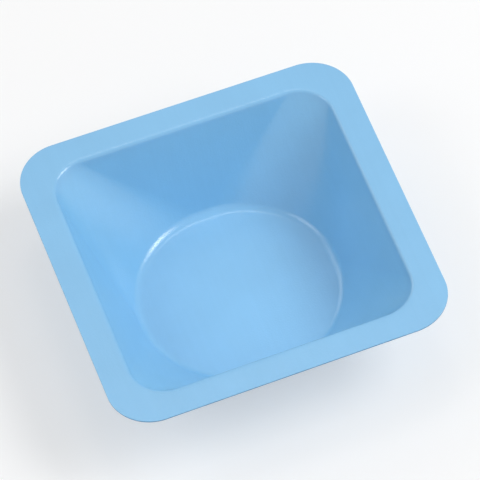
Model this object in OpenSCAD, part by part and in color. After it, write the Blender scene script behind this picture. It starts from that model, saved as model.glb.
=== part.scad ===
// Square weighing boat, formed from one thin sheet: a flat square rim, a pocket
// whose walls run from a square mouth down to a round floor, and a flat base.
// Millimetres. +Z is up, the base stands on z = 0 and the pocket is centred on Z.

/* [Rim] */
// Width of the boat across its square rim, from cut edge to cut edge
rim_side = 85; // [70:1:140]
// Width of the flat rim, from its cut edge to the mouth of the pocket
rim_w = 7.1; // [4:0.1:10]
// Radius of the outer corners of the rim
rim_corner_r = 11; // [5:0.5:18]

/* [Pocket] */
// Height of the boat, from the base to the top of the rim
height = 24; // [12:0.5:45]
// Radius of the corners of the mouth
mouth_corner_r = 8.5; // [4:0.5:14]
// Diameter of the round floor, taken to where the walls would meet it with no bend
floor_d = 50; // [30:1:60]

/* [Sheet] */
// Thickness of the formed sheet
sheet_t = 0.4; // [0.3:0.05:1]
// Inner radius of the bend between the rim and the walls
lip_bend_r = 0.8; // [0.4:0.1:2]
// Inner radius of the bend between the walls and the floor
floor_bend_r = 3; // [1:0.25:6]

/* [Smoothness] */
// Facets around each corner of the pocket
corner_steps = 18; // [8:1:24]
// Facets across each bend
bend_steps = 5; // [3:1:8]

/* [Hidden] */

// Directions that each corner turns through, from one straight side to the next
corner_angles = [for (i = [0:corner_steps]) 90 * i / corner_steps];
// Distance from the middle of the mouth to one of its straight sides
mouth_half = rim_side / 2 - rim_w;
// Half the length of a straight side, which is where the corners are centred
mouth_straight = mouth_half - mouth_corner_r;
// Drop of the walls, from the top of the rim to the top of the floor
drop = height - sheet_t;
// Radius of the rim's bend on its outer side, which is the top of the sheet
lip_top_r = lip_bend_r + sheet_t;
// How far the space inside the pocket is carried up past the rim to cut it open
overcut = 1;

// The walls are ruled: at every direction round the pocket they are one straight
// line, from the mouth to the point of the floor circle that faces the same way.
// The sides come out as flat triangles and the corners as parts of slanting
// cones. A level outline of the walls is given, for each direction a in a corner,
// by its reach, the distance from the axis to the outline's tangent, and by its
// slide, the distance along that tangent to the point where it touches.

function mouth_reach(a) = mouth_straight * (cos(a) + sin(a)) + mouth_corner_r;
function mouth_slide(a) = mouth_straight * (cos(a) - sin(a));

// Angle of the wall from upright
function slope(a) = atan((mouth_reach(a) - floor_d / 2) / drop);

// Reach and slide at a depth below the rim, on a surface that lies out from the
// top of the sheet by the distance out, measured square to the wall
function wall_outline(a, depth, out) = [
    mouth_reach(a) - depth * tan(slope(a)) + out / cos(slope(a)),
    mouth_slide(a) * (1 - (depth - out * sin(slope(a))) / drop)
];

// Point of a bend: corner q, direction a in it, the reach and slide of the
// bend's centre and its height z, the radius of the bend and the angle t up it
function bend_point(q, a, centre, z, r, t) =
    let (turn = 90 * q + a)
    let (reach = centre[0] + r * cos(t))
    let (slide = centre[1])
    [
        reach * cos(turn) - slide * sin(turn),
        reach * sin(turn) + slide * cos(turn),
        z + r * sin(t)
    ];

// Ring of points on the bend at the rim. The bend turns about a line under the
// sheet. The skin is the depth into the sheet: 0 is its top, sheet_t its underside.
function lip_ring(skin, step) = [
    for (q = [0:3], a = corner_angles)
        let (centre = wall_outline(a, lip_top_r, lip_top_r))
        let (t = 90 + (90 - slope(a)) * step / bend_steps)
        bend_point(q, a, centre, height - lip_top_r, lip_top_r - skin, t)
];

// Ring of points on the bend at the floor, which turns about a line in the pocket
function floor_ring(skin, step) = [
    for (q = [0:3], a = corner_angles)
        let (centre = wall_outline(a, drop - floor_bend_r, -floor_bend_r))
        let (t = -slope(a) - (90 - slope(a)) * step / bend_steps)
        bend_point(q, a, centre, sheet_t + floor_bend_r, floor_bend_r + skin, t)
];

// Solid lofted down through rings that have the same number of points
module loft(rings) {
    count = len(rings[0]);
    last = len(rings) - 1;
    sides = [
        for (k = [0:last - 1], i = [0:count - 1])
            let (j = (i + 1) % count)
            let (upper = k * count)
            let (lower = upper + count)
            each [
                [upper + i, upper + j, lower + j],
                [upper + i, lower + j, lower + i]
            ]
    ];
    top = [for (i = [0:count - 1]) count - 1 - i];
    bottom = [for (i = [0:count - 1]) last * count + i];
    polyhedron([for (ring = rings) each ring], concat(sides, [top, bottom]), convexity = 4);
}

// Everything inside one skin of the sheet, from the base or floor up to a level
module pocket_form(skin, top_z) {
    mouth = [for (p = lip_ring(skin, 0)) [p[0], p[1], top_z]];
    bends = [
        for (step = [0:bend_steps]) lip_ring(skin, step),
        for (step = [0:bend_steps]) floor_ring(skin, step)
    ];
    loft(concat([mouth], bends));
}

// The flat square of sheet that becomes the rim, with its rounded corners
module rim_blank() {
    corner = rim_side / 2 - rim_corner_r;
    translate([0, 0, height - sheet_t])
        linear_extrude(sheet_t)
            union() {
                square([rim_side, 2 * corner], center = true);
                square([2 * corner, rim_side], center = true);
                for (x = [-corner, corner], y = [-corner, corner])
                    translate([x, y]) circle(r = rim_corner_r, $fn = 4 * corner_steps);
            }
}

module dish() {
    color("lightskyblue")
        difference() {
            union() {
                rim_blank();
                pocket_form(sheet_t, height - sheet_t / 2);
            }
            pocket_form(0, height + overcut);
        }
}

dish();
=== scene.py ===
# %% [markdown]
# # A square weighing boat
#
# The boat is one thin sheet of blue plastic, softened by heat and drawn down
# into a mould, then cut out with a flat rim left all round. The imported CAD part
# gives its exact form. This lesson remakes that form as one even surface,
# finishes it as real sheet plastic is finished, and sets it on a white floor
# under soft light.

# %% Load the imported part
import math

import bmesh
import bpy
import numpy as np
from mathutils import Matrix, Vector


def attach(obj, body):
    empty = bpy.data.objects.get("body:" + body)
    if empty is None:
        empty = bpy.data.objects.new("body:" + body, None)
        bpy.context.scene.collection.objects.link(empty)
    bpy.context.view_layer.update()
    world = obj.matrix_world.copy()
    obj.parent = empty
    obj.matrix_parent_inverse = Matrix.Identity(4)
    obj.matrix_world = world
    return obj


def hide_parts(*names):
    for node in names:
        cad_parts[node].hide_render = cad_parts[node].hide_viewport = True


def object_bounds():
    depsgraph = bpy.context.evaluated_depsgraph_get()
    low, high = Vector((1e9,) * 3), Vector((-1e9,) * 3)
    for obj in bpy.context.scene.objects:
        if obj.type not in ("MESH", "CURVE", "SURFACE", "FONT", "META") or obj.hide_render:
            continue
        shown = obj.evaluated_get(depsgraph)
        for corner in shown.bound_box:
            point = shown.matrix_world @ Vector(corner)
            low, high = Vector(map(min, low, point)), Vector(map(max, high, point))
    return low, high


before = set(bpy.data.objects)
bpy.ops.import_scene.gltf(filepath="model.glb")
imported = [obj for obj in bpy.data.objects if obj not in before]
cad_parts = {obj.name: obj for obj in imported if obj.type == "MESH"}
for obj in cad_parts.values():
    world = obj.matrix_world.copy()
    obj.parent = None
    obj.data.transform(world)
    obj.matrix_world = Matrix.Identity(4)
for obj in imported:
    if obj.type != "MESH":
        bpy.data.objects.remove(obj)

cad_low, cad_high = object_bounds()
print("CAD box, mm:", [round(1000 * size, 2) for size in cad_high - cad_low])

# %% [markdown]
# ## The sizes of the sheet
#
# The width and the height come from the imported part. The other sizes are those
# that a mould maker would write on the drawing: how wide the rim is, how round
# the corners are, how wide the floor is, and how tight the two bends are. They
# could be measured from the part's mesh instead, but then each one would hide
# in a search for vertices, and a reader could not see what shapes the boat.
#
# The rim will dip a little at two corners. Its thickness is added square to the
# surface, so under a leaning rim it reaches outwards by a few thousandths of a
# millimetre. The outline starts a hair inside the box to leave room for that.

# %% Sizes of the sheet, in metres
MM = 0.001
hair = 0.005 * MM
rim_side = cad_high.x - cad_low.x - 2 * hair
height = cad_high.z
rim_width = 7.1 * MM
rim_corner_radius = 11 * MM
mouth_corner_radius = 8.5 * MM
floor_radius = 25 * MM
sheet_thickness = 0.4 * MM
lip_bend_radius = 0.8 * MM
floor_bend_radius = 3 * MM

mouth_half = rim_side / 2 - rim_width
mouth_straight = mouth_half - mouth_corner_radius
drop = height - sheet_thickness
print("rim side and mouth side, mm:", [round(1000 * size, 2) for size in (rim_side, 2 * mouth_half)])

# %% [markdown]
# ## The walls between a square mouth and a round floor
#
# Each wall line joins the mouth to the point of the floor that faces the same
# way, so a flat sheet could be bent to it. A box model with a subdivision
# modifier would be quicker, but its corners would bulge where these are
# straight. So the outline is worked out by its reach, how far its tangent lies
# from the middle, and its slide, how far along the tangent it touches.

# %% Outline of the walls at any depth
def mouth_reach(angle):
    """Distance from the middle to the tangent of the mouth that faces this way."""
    return mouth_straight * (np.cos(angle) + np.sin(angle)) + mouth_corner_radius


def mouth_slide(angle):
    """Distance along that tangent to the point where it touches the mouth."""
    return mouth_straight * (np.cos(angle) - np.sin(angle))


def wall_slope(angle):
    """Lean of the wall from upright."""
    return np.arctan((mouth_reach(angle) - floor_radius) / drop)


def wall_outline(angle, depth, out):
    """Reach and slide at a depth below the rim, a distance out from the top of the sheet."""
    slope = wall_slope(angle)
    reach = mouth_reach(angle) - depth * np.tan(slope) + out / np.cos(slope)
    slide = mouth_slide(angle) * (1 - (depth - out * np.sin(slope)) / drop)
    return reach, slide


print("wall slope from upright, degrees:",
      [round(math.degrees(wall_slope(math.radians(turn))), 1) for turn in (0, 45)])

# %% [markdown]
# ## The top of the sheet, row by row
#
# A forming mould gives the sheet two bends: over the lip into the pocket, and
# from the walls into the floor. Both are true arcs. Rows of points follow the
# sheet from its cut edge to the middle of the floor, and every row has the same
# number of points, so that the rows join into even four-sided faces. Even faces
# give smooth highlights, which a mesh cut from the CAD facets would not.

# %% Rows of points across the sheet
corner_steps = 40
side_steps = 24
rim_rows = 8
lip_rows = 10
wall_rows = 24
floor_bend_rows = 12
floor_rows = 16
corner_turns = np.radians(np.linspace(0, 90, corner_steps + 1))


def closed_row(reach, slide, level):
    """One row round the boat: four equal corners with straight sides between."""
    corners = []
    for quarter in range(4):
        turn = corner_turns + quarter * math.pi / 2
        across = reach * np.cos(turn) - slide * np.sin(turn)
        along = reach * np.sin(turn) + slide * np.cos(turn)
        corners.append(np.stack([across, along, level + 0 * turn], axis=1))
    share = np.linspace(0, 1, side_steps + 1)[1:-1, None]
    parts = []
    for quarter in range(4):
        start, end = corners[quarter][-1], corners[(quarter + 1) % 4][0]
        parts += [corners[quarter], start + share * (end - start)]
    return np.concatenate(parts)


def rows_between(first, last, count):
    """The rows after first, up to and with last, evenly spaced."""
    return [first + (last - first) * step / count for step in range(1, count + 1)]


def bend_rows(outline, level, radius, start, end, count):
    """Rows on a bend about a centre line, as its arc turns from start to end."""
    reach, slide = outline
    rows = []
    for step in range(count + 1):
        arc = start + (end - start) * step / count
        rows.append(closed_row(reach + radius * np.cos(arc), slide, level + radius * np.sin(arc)))
    return rows


rim_straight = rim_side / 2 - rim_corner_radius
rim_reach = rim_straight * (np.cos(corner_turns) + np.sin(corner_turns)) + rim_corner_radius
rim_slide = rim_straight * (np.cos(corner_turns) - np.sin(corner_turns))
cut_edge = closed_row(rim_reach, rim_slide, height)

slope = wall_slope(corner_turns)
lip_radius = lip_bend_radius + sheet_thickness
lip = bend_rows(
    wall_outline(corner_turns, lip_radius, lip_radius), height - lip_radius,
    lip_radius, math.pi / 2, math.pi - slope, lip_rows)
floor_bend = bend_rows(
    wall_outline(corner_turns, drop - floor_bend_radius, -floor_bend_radius),
    sheet_thickness + floor_bend_radius,
    floor_bend_radius, -slope, -math.pi / 2, floor_bend_rows)
floor_middle = np.array([0, 0, sheet_thickness]) + 0 * floor_bend[-1]

rows = [cut_edge]
rows += rows_between(cut_edge, lip[0], rim_rows)
rows += lip[1:]
rows += rows_between(lip[-1], floor_bend[0], wall_rows)
rows += floor_bend[1:]
rows += rows_between(floor_bend[-1], floor_middle, floor_rows)[:-1]
print("rows:", len(rows), "points in each:", len(rows[0]))

# %% [markdown]
# ## A sheet that has relaxed
#
# So thin a rim seldom stays quite flat as it cools. On this boat two opposite
# corners dip by nearly a millimetre and the other two stay at full height, so
# the rim is a very shallow saddle. A lattice or a bend modifier could do it, but
# one formula is easier to read: the dip grows towards those two corners and
# fades down the walls, so that the floor still lies flat.

# %% Saddle of the relaxed rim
corner_dip = 0.87 * MM
corner_place = rim_side / 2 - rim_corner_radius * (1 - math.cos(math.pi / 4))


def relaxed(row):
    """Lower the points of one row, most at the rim and not at all at the floor."""
    across, along, level = row.T
    saddle = (1 + across * along / corner_place**2) / 2
    share = np.clip((level - sheet_thickness) / drop, 0, 1)
    return np.stack([across, along, level - corner_dip * saddle * share], axis=1)


rows = [relaxed(row) for row in rows]
rim_levels = 1000 * rows[0][:, 2]
lowest, highest = float(rim_levels.min()), float(rim_levels.max())
print("cut edge, lowest and highest, mm:", round(lowest, 2), round(highest, 2))

# %% [markdown]
# ## One surface, then its thickness
#
# The rows become one open surface, the top of the sheet. Solidify then gives it
# the sheet's thickness downwards, as one sheet has everywhere, and Bevel rounds
# the cut edge by less than a tenth of a millimetre, as a worn cutting die does.
# Modelling both sides by hand would work too, but the two could drift apart.
# Solidify can also give the narrow band that it adds round the rim a material of
# its own, and the cut edge uses that below.

# %% Mesh of the sheet
def sheet_mesh(name, rows):
    mesh = bmesh.new()
    lines = [[mesh.verts.new(point) for point in row] for row in rows]
    middle = mesh.verts.new((0, 0, sheet_thickness))
    count = len(lines[0])
    for upper, lower in zip(lines, lines[1:]):
        for i in range(count):
            j = (i + 1) % count
            mesh.faces.new((upper[i], upper[j], lower[j], lower[i]))
    for i in range(count):
        mesh.faces.new((lines[-1][i], lines[-1][(i + 1) % count], middle))
    for face in mesh.faces:
        face.smooth = True
    data = bpy.data.meshes.new(name)
    mesh.to_mesh(data)
    mesh.free()
    return data


dish = bpy.data.objects.new("formed_dish", sheet_mesh("formed_dish", rows))
bpy.context.scene.collection.objects.link(dish)
print("faces of the open surface:", len(dish.data.polygons))

# %% Thickness and the cut edge
edge_round = 0.06 * MM
thickness = dish.modifiers.new("sheet thickness", "SOLIDIFY")
thickness.thickness = sheet_thickness
thickness.offset = -1
thickness.use_even_offset = True
thickness.material_offset_rim = 1
rounding = dish.modifiers.new("cut edge", "BEVEL")
rounding.width = edge_round
rounding.segments = 2
rounding.limit_method = "ANGLE"
rounding.angle_limit = math.radians(60)
rounding.harden_normals = True

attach(dish, "root")
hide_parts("dish")
print("sheet thickness, mm:", round(1000 * thickness.thickness, 2))

# %% [markdown]
# ## Small helpers for shader nodes
#
# A node tree in code is a list of nodes and links. A few helpers keep it short:
# they add a node with its settings, do one sum, stretch one range onto another,
# or open a group with named sockets. A group is a small tool that several
# materials share, each with its own values, so that a better grain is made in
# one place.

# %% Helpers for shader nodes
def add_node(tree, kind, inputs, **settings):
    """Add one node. An input is given a plain value, or the output that feeds it."""
    node = tree.nodes.new(kind)
    for name, value in settings.items():
        setattr(node, name, value)
    for name, value in inputs.items():
        if isinstance(value, bpy.types.NodeSocket):
            tree.links.new(value, node.inputs[name])
        else:
            node.inputs[name].default_value = value
    return node


def maths(tree, operation, first, second):
    return add_node(tree, "ShaderNodeMath", {0: first, 1: second}, operation=operation).outputs[0]


def stretched(tree, value, old_low, old_high, new_low=0.0, new_high=1.0):
    """The value, with old_low to old_high stretched smoothly to new_low to new_high."""
    return add_node(
        tree, "ShaderNodeMapRange",
        {"Value": value, "From Min": old_low, "From Max": old_high, "To Min": new_low, "To Max": new_high},
        interpolation_type="SMOOTHSTEP").outputs["Result"]


def new_group(name, numbers_in, numbers_out):
    """A shader group that takes a position and numbers, and gives numbers back."""
    tree = bpy.data.node_groups.new(name, "ShaderNodeTree")
    tree.interface.new_socket("Position", in_out="INPUT", socket_type="NodeSocketVector")
    for label in numbers_in:
        tree.interface.new_socket(label, in_out="INPUT", socket_type="NodeSocketFloat")
    for label in numbers_out:
        tree.interface.new_socket(label, in_out="OUTPUT", socket_type="NodeSocketFloat")
    given = tree.nodes.new("NodeGroupInput").outputs
    result = tree.nodes.new("NodeGroupOutput").inputs
    return tree, given, result


print("shader helpers are ready")

# %% [markdown]
# ## Grain of the mould
#
# A forming mould is blasted with fine grit, so that air can escape under the
# sheet, and the plastic takes a soft print of it: a satin grain of about half a
# millimetre. Noise gives such a grain. Its size is asked for in metres, as a
# maker would measure it, and the group turns it into a scale. A second, slower
# noise marks the patches where the sheet took the print better.

# %% Group: mould grain
grain_group, given, result = new_group("mould_grain", ["Grain size", "Patch size"], ["Height", "Patches"])
for size, detail, output in (("Grain size", 3.0, "Height"), ("Patch size", 2.0, "Patches")):
    scale = maths(grain_group, "DIVIDE", 1.0, given[size])
    noise = add_node(
        grain_group, "ShaderNodeTexNoise", {"Vector": given["Position"], "Scale": scale, "Detail": detail})
    grain_group.links.new(noise.outputs[0], result[output])
print(grain_group.name, "has", len(grain_group.nodes), "nodes")

# %% [markdown]
# ## Long thin lines
#
# Three marks on a boat are long and thin: the faint lines that rollers leave in
# flat sheet, the hairlines where stacked boats rub, and the scores that a
# cutting rule leaves down an edge. Wave texture would make them too regular, so
# all three are noise stretched far longer one way than the others. The lines
# run along Y, so each use first turns the position until Y lies along its own.

# %% Group: long lines
lines_group, given, result = new_group("long_lines", ["Line width", "Line length"], ["Lines"])
place = add_node(lines_group, "ShaderNodeSeparateXYZ", {0: given["Position"]}).outputs
stretch = add_node(lines_group, "ShaderNodeCombineXYZ", {
    "X": maths(lines_group, "DIVIDE", place["X"], given["Line width"]),
    "Y": maths(lines_group, "DIVIDE", place["Y"], given["Line length"]),
    "Z": maths(lines_group, "DIVIDE", place["Z"], given["Line width"])}).outputs[0]
noise = add_node(lines_group, "ShaderNodeTexNoise", {"Vector": stretch, "Scale": 1.0, "Detail": 2.0})
lines_group.links.new(noise.outputs[0], result["Lines"])


def long_lines(tree, position, turn, width, length):
    """Lines along Y, once the position is turned by the three angles, in degrees."""
    turned = add_node(
        tree, "ShaderNodeVectorRotate",
        {"Vector": position, "Rotation": [math.radians(angle) for angle in turn]},
        rotation_type="EULER_XYZ").outputs[0]
    return add_node(
        tree, "ShaderNodeGroup",
        {"Position": turned, "Line width": width, "Line length": length},
        node_tree=lines_group).outputs["Lines"]


print(lines_group.name, "has", len(lines_group.nodes), "nodes")

# %% [markdown]
# ## Moulded blue plastic
#
# The sheet is dyed all through. The rim was held flat and keeps its full
# thickness, its full colour and its satin skin. The walls and the floor were
# drawn thinner and pressed against the mould, so they are smoother. They are
# also painted a shade lighter and bluer: painted light, for the light that
# shines through the thinner sheet. Both the colour and the roughness follow
# the depth below the rim.
# Boats travel stacked, and the rims and the upper walls rub on each other, which
# leaves hairlines that show as a change in gloss. Painting any of this on the
# mesh would need a picture file, while nodes need only the place of each point.
# The roller lines were straight while the sheet was flat, so they follow the
# place seen from above, and run down the walls with it.

# %% Material: blue sheet plastic
rim_blue = (0.223, 0.502, 0.779, 1)
# Painted light: the walls and the floor get a lighter, bluer colour that stands in for light shining
# through the thinner sheet.
drawn_painted_light_blue = (0.229, 0.521, 0.795, 1)
rim_roughness = 0.225
drawn_roughness = 0.205
plastic_ior = 1.57


def new_material(name):
    material = bpy.data.materials.new(name)
    material.use_nodes = True
    return material, material.node_tree, material.node_tree.nodes["Principled BSDF"]


plastic, tree, shader = new_material("blue_sheet_plastic")
here = add_node(tree, "ShaderNodeTexCoord", {}).outputs["Object"]
from_above = add_node(
    tree, "ShaderNodeVectorMath", {0: here, 1: (1, 1, 0)}, operation="MULTIPLY").outputs[0]
level = add_node(tree, "ShaderNodeSeparateXYZ", {0: here}).outputs["Z"]
held_above = height - corner_dip
drawn_below = held_above - 2 * MM
# This share below the rim sets the painted light in the walls' colour, and also their smoother gloss.
drawn = stretched(tree, level, held_above, drawn_below)
print("drawn fully below, mm:", round(1000 * drawn_below, 2))

# %% Grain, lines and hairlines of the plastic
grain_size, patch_size = 0.45 * MM, 14 * MM
roller_line_width, roller_line_length = 1.3 * MM, 90 * MM
hairline_width, hairline_length = 0.22 * MM, 16 * MM
hairline_turns = (28, -51)
hairline_start, hairline_full = 0.69, 0.75
worn_from, worn_fully = height - 9 * MM, height - 1 * MM

grain = add_node(
    tree, "ShaderNodeGroup",
    {"Position": here, "Grain size": grain_size, "Patch size": patch_size}, node_tree=grain_group).outputs
lines = long_lines(tree, from_above, (0, 0, 0), roller_line_width, roller_line_length)
rubs = [
    stretched(tree, long_lines(tree, from_above, (0, 0, turn), hairline_width, hairline_length),
              hairline_start, hairline_full)
    for turn in hairline_turns]
worn = stretched(tree, level, worn_from, worn_fully)
rubbed = maths(tree, "MULTIPLY", maths(tree, "MAXIMUM", rubs[0], rubs[1]), worn)
print("hairlines run in", len(rubs), "directions")

# %% Sums of small effects
def about_zero(tree, value, swing):
    """Noise lies about a half. This centres it on zero, with the swing asked for."""
    return maths(tree, "MULTIPLY", maths(tree, "SUBTRACT", value, 0.5), swing)


def summed(tree, values):
    total = values[0]
    for value in values[1:]:
        total = maths(tree, "ADD", total, value)
    return total


def marks(tree, patches_swing, lines_swing, hairline_gain):
    """One number from the three marks of the sheet, each with its own strength."""
    return summed(tree, [
        about_zero(tree, grain["Patches"], patches_swing),
        about_zero(tree, lines, lines_swing),
        maths(tree, "MULTIPLY", rubbed, hairline_gain)])


print("marks on the sheet: patches, roller lines and hairlines")

# %% Colour, gloss and relief of the plastic
grain_depth = 0.035 * MM
line_height, hairline_height = 0.5, -0.05    # as shares of the grain's own

dye_with_painted_light = add_node(
    # Painted light: this mix lightens the walls and the floor for the light that shines through the
    # thinner sheet.
    tree, "ShaderNodeMix", {"Factor": drawn, 6: rim_blue, 7: drawn_painted_light_blue}, data_type="RGBA").outputs[2]
cloudiness = marks(tree, patches_swing=0.10, lines_swing=0.035, hairline_gain=0.03)
brightness = maths(tree, "ADD", cloudiness, 1.0)
colour = add_node(tree, "ShaderNodeHueSaturation", {"Color": dye_with_painted_light, "Value": brightness}).outputs[0]
tree.links.new(colour, shader.inputs["Base Color"])

plain_roughness = stretched(tree, drawn, 0.0, 1.0, rim_roughness, drawn_roughness)
uneven = marks(tree, patches_swing=0.07, lines_swing=0.03, hairline_gain=0.02)
tree.links.new(maths(tree, "ADD", plain_roughness, uneven), shader.inputs["Roughness"])

relief = summed(tree, [
    grain["Height"],
    maths(tree, "MULTIPLY", lines, line_height),
    maths(tree, "MULTIPLY", rubbed, hairline_height)])
bump = add_node(tree, "ShaderNodeBump", {"Height": relief, "Distance": grain_depth, "Strength": 1.0})
tree.links.new(bump.outputs[0], shader.inputs["Normal"])
shader.inputs["IOR"].default_value = plastic_ior
dish.data.materials.append(plastic)
print(plastic.name, "has", len(tree.nodes), "nodes")

# %% [markdown]
# ## The cut edge
#
# The boats are cut apart with a steel rule. The narrow edge all round is
# painted a deeper blue than the sheet: painted shade, for the shade that lies
# on that thin edge. It is rougher too, paler where the rule crushed it, and has
# fine scores straight down where the rule slid through. The same two groups
# serve with smaller sizes. Laid on its side, the position gives lines that run
# down instead of along.

# %% Material: cut edge
# Painted shade: the edge's deeper blue stands in for the shade on the thin cut edge.
edge_painted_shade_blue = (0.085, 0.270, 0.480, 1)
crushed_blue = (0.150, 0.370, 0.600, 1)
edge_grain_size, crushed_patch_size = 0.12 * MM, 5 * MM
score_width, score_length = 0.15 * MM, 8 * MM
score_turn = (90, 0, 0)
crush_start, crush_full = 0.35, 0.65
score_start, score_full = 0.3, 0.7
smooth_cut, torn_cut = 0.52, 0.68
edge_relief_depth = 0.010 * MM

cut_plastic, tree, shader = new_material("cut_edge_plastic")
here = add_node(tree, "ShaderNodeTexCoord", {}).outputs["Object"]
crush = add_node(
    tree, "ShaderNodeGroup",
    {"Position": here, "Grain size": edge_grain_size, "Patch size": crushed_patch_size},
    node_tree=grain_group).outputs
scores = long_lines(tree, here, score_turn, score_width, score_length)
crushed = stretched(tree, crush["Patches"], crush_start, crush_full)
# Mix of the painted shade of the edge and the paler patches where the rule crushed it.
edge_shade_and_crush_colour = add_node(
    tree, "ShaderNodeMix", {"Factor": crushed, 6: edge_painted_shade_blue, 7: crushed_blue}, data_type="RGBA").outputs[2]
tree.links.new(edge_shade_and_crush_colour, shader.inputs["Base Color"])
cut_roughness = stretched(tree, scores, score_start, score_full, smooth_cut, torn_cut)
tree.links.new(cut_roughness, shader.inputs["Roughness"])
edge_relief = maths(tree, "ADD", crush["Height"], scores)
bump = add_node(
    tree, "ShaderNodeBump", {"Height": edge_relief, "Distance": edge_relief_depth, "Strength": 1.0})
tree.links.new(bump.outputs[0], shader.inputs["Normal"])
shader.inputs["IOR"].default_value = plastic_ior
dish.data.materials.append(cut_plastic)
print(cut_plastic.name, "has", len(tree.nodes), "nodes")

# %% [markdown]
# ## A white floor
#
# The boat stands on a smooth white board. Its colour is just below white, so the
# soft shadow of the boat still shows on it. The lamps only reach the middle of
# the board. Further out it would turn grey, so there it fades to plain white.
# A share of that white stays close to the boat too, which keeps its shadow pale.
# All of it is only for the camera and for reflections: the light that the board
# throws back on the boat is left as it is.

# %% Floor
board_size = 12.0
board_white = (0.91, 0.91, 0.91, 1)
board_roughness = 0.9
white_near, white_far = 0.4, 1.0
fade_from, fade_to = 0.14, 0.60

board_mesh = bmesh.new()
bmesh.ops.create_grid(board_mesh, x_segments=1, y_segments=1, size=board_size / 2)
board_data = bpy.data.meshes.new("floor_board")
board_mesh.to_mesh(board_data)
board_mesh.free()
board = bpy.data.objects.new("floor_board", board_data)
bpy.context.scene.collection.objects.link(board)


def seen_directly(tree):
    """1 for what the camera sees, also by way of gloss or glass, 0 for soft light."""
    path = add_node(tree, "ShaderNodeLightPath", {}).outputs
    gloss = maths(tree, "MAXIMUM", path["Is Glossy Ray"], path["Is Transmission Ray"])
    return maths(tree, "MAXIMUM", path["Is Camera Ray"], gloss)


board_paint, tree, shader = new_material("board_paint")
shader.inputs["Base Color"].default_value = board_white
shader.inputs["Roughness"].default_value = board_roughness
here = add_node(tree, "ShaderNodeTexCoord", {}).outputs["Object"]
distance = add_node(tree, "ShaderNodeVectorMath", {0: here}, operation="LENGTH").outputs["Value"]
plain_share = stretched(tree, distance, fade_from, fade_to, white_near, white_far)
plain_white = add_node(tree, "ShaderNodeEmission", {"Strength": 1.0}).outputs[0]
faded = add_node(tree, "ShaderNodeMixShader", {
    0: maths(tree, "MULTIPLY", plain_share, seen_directly(tree)), 1: shader.outputs[0], 2: plain_white})
tree.links.new(faded.outputs[0], tree.nodes["Material Output"].inputs["Surface"])
board.data.materials.append(board_paint)
print("board, m:", board_size)

# %% [markdown]
# ## Soft light
#
# Five softboxes and an even white room light the boat. A single lamp would leave
# the inside of the dish half in the dark. The two strongest stand at the right,
# and two weaker ones at the left and behind, so that each wall has a shade of
# its own. The last is small and high above the far rim. It adds little light,
# but it shines back from the bend round the mouth as a thin bright line.
# Together the lamps and the room light a level surface to about its own colour.
# The room is plain white where it is seen and dimmer as a light.

# %% Room
room_light = 0.45
world = bpy.context.scene.world or bpy.data.worlds.new("white_room")
bpy.context.scene.world = world
world.use_nodes = True
tree = world.node_tree
background = tree.nodes["Background"]
background.inputs["Color"].default_value = (1, 1, 1, 1)
room_strength = add_node(tree, "ShaderNodeMapRange", {
    "Value": seen_directly(tree), "To Min": room_light, "To Max": 1.0}).outputs["Result"]
tree.links.new(room_strength, background.inputs["Strength"])
print("room light:", room_light)

# %% Softboxes
def softbox(name, azimuth, elevation, distance, size, power):
    """A square lamp that faces the boat, at an angle round it and above the floor."""
    light = bpy.data.lights.new(name, "AREA")
    light.shape = "SQUARE"
    light.size = size
    light.energy = power
    turn, rise = math.radians(azimuth), math.radians(elevation)
    place = distance * Vector((
        math.sin(turn) * math.cos(rise), -math.cos(turn) * math.cos(rise), math.sin(rise)))
    lamp = bpy.data.objects.new(name, light)
    lamp.location = place
    lamp.rotation_euler = place.to_track_quat("Z", "Y").to_euler()
    bpy.context.scene.collection.objects.link(lamp)
    return lamp


# Each has its azimuth and its elevation in degrees, its distance and its size in
# metres, and its power in watts.
lamps = [
    softbox("key_softbox", 60, 40, 1.0, 0.35, 2.5),
    softbox("right_softbox", 75, 50, 1.0, 0.35, 3.0),
    softbox("left_softbox", 260, 45, 1.0, 0.40, 1.25),
    softbox("back_softbox", 210, 35, 1.0, 0.50, 1.15),
    softbox("far_rim_light", 160, 69, 1.0, 0.22, 0.57)]


def light_on_level(lamp):
    """What a lamp adds on a level surface: less with the square of its distance, and at a slant."""
    distance = lamp.location.length
    return lamp.data.energy / (math.pi * distance) ** 2 * lamp.location.z / distance


level_light = room_light + sum(light_on_level(lamp) for lamp in lamps)
print("light on a level surface, where 1 shows a colour as written:", round(level_light, 2))

# %% [markdown]
# ## Camera
#
# A long lens from far away keeps the far rim nearly as long as the near one. The
# camera looks down steeply and is turned a little about its own line of sight.

# %% Camera
camera_azimuth = -13.37
camera_elevation = 54.80
camera_roll = -7.76
camera_distance = 1433.0 * MM
aim = Vector((1.54 * MM, -1.41 * MM, height - corner_dip / 2))

focal_length, sensor_width = 450, 36    # both in millimetres, as Blender asks

lens = bpy.data.cameras.new("long_lens")
lens.lens = focal_length
lens.sensor_width = sensor_width
camera = bpy.data.objects.new("camera", lens)
turn, rise = math.radians(camera_azimuth), math.radians(camera_elevation)
back = Vector((math.sin(turn) * math.cos(rise), -math.cos(turn) * math.cos(rise), math.sin(rise)))
camera.location = aim + camera_distance * back
look = back.to_track_quat("Z", "Y").to_matrix().to_4x4()
camera.rotation_euler = (look @ Matrix.Rotation(math.radians(camera_roll), 4, "Z")).to_euler()
bpy.context.scene.collection.objects.link(camera)
bpy.context.scene.camera = camera
bpy.context.scene.view_settings.view_transform = "Standard"
print("camera stands at, m:", [round(value, 3) for value in camera.location])
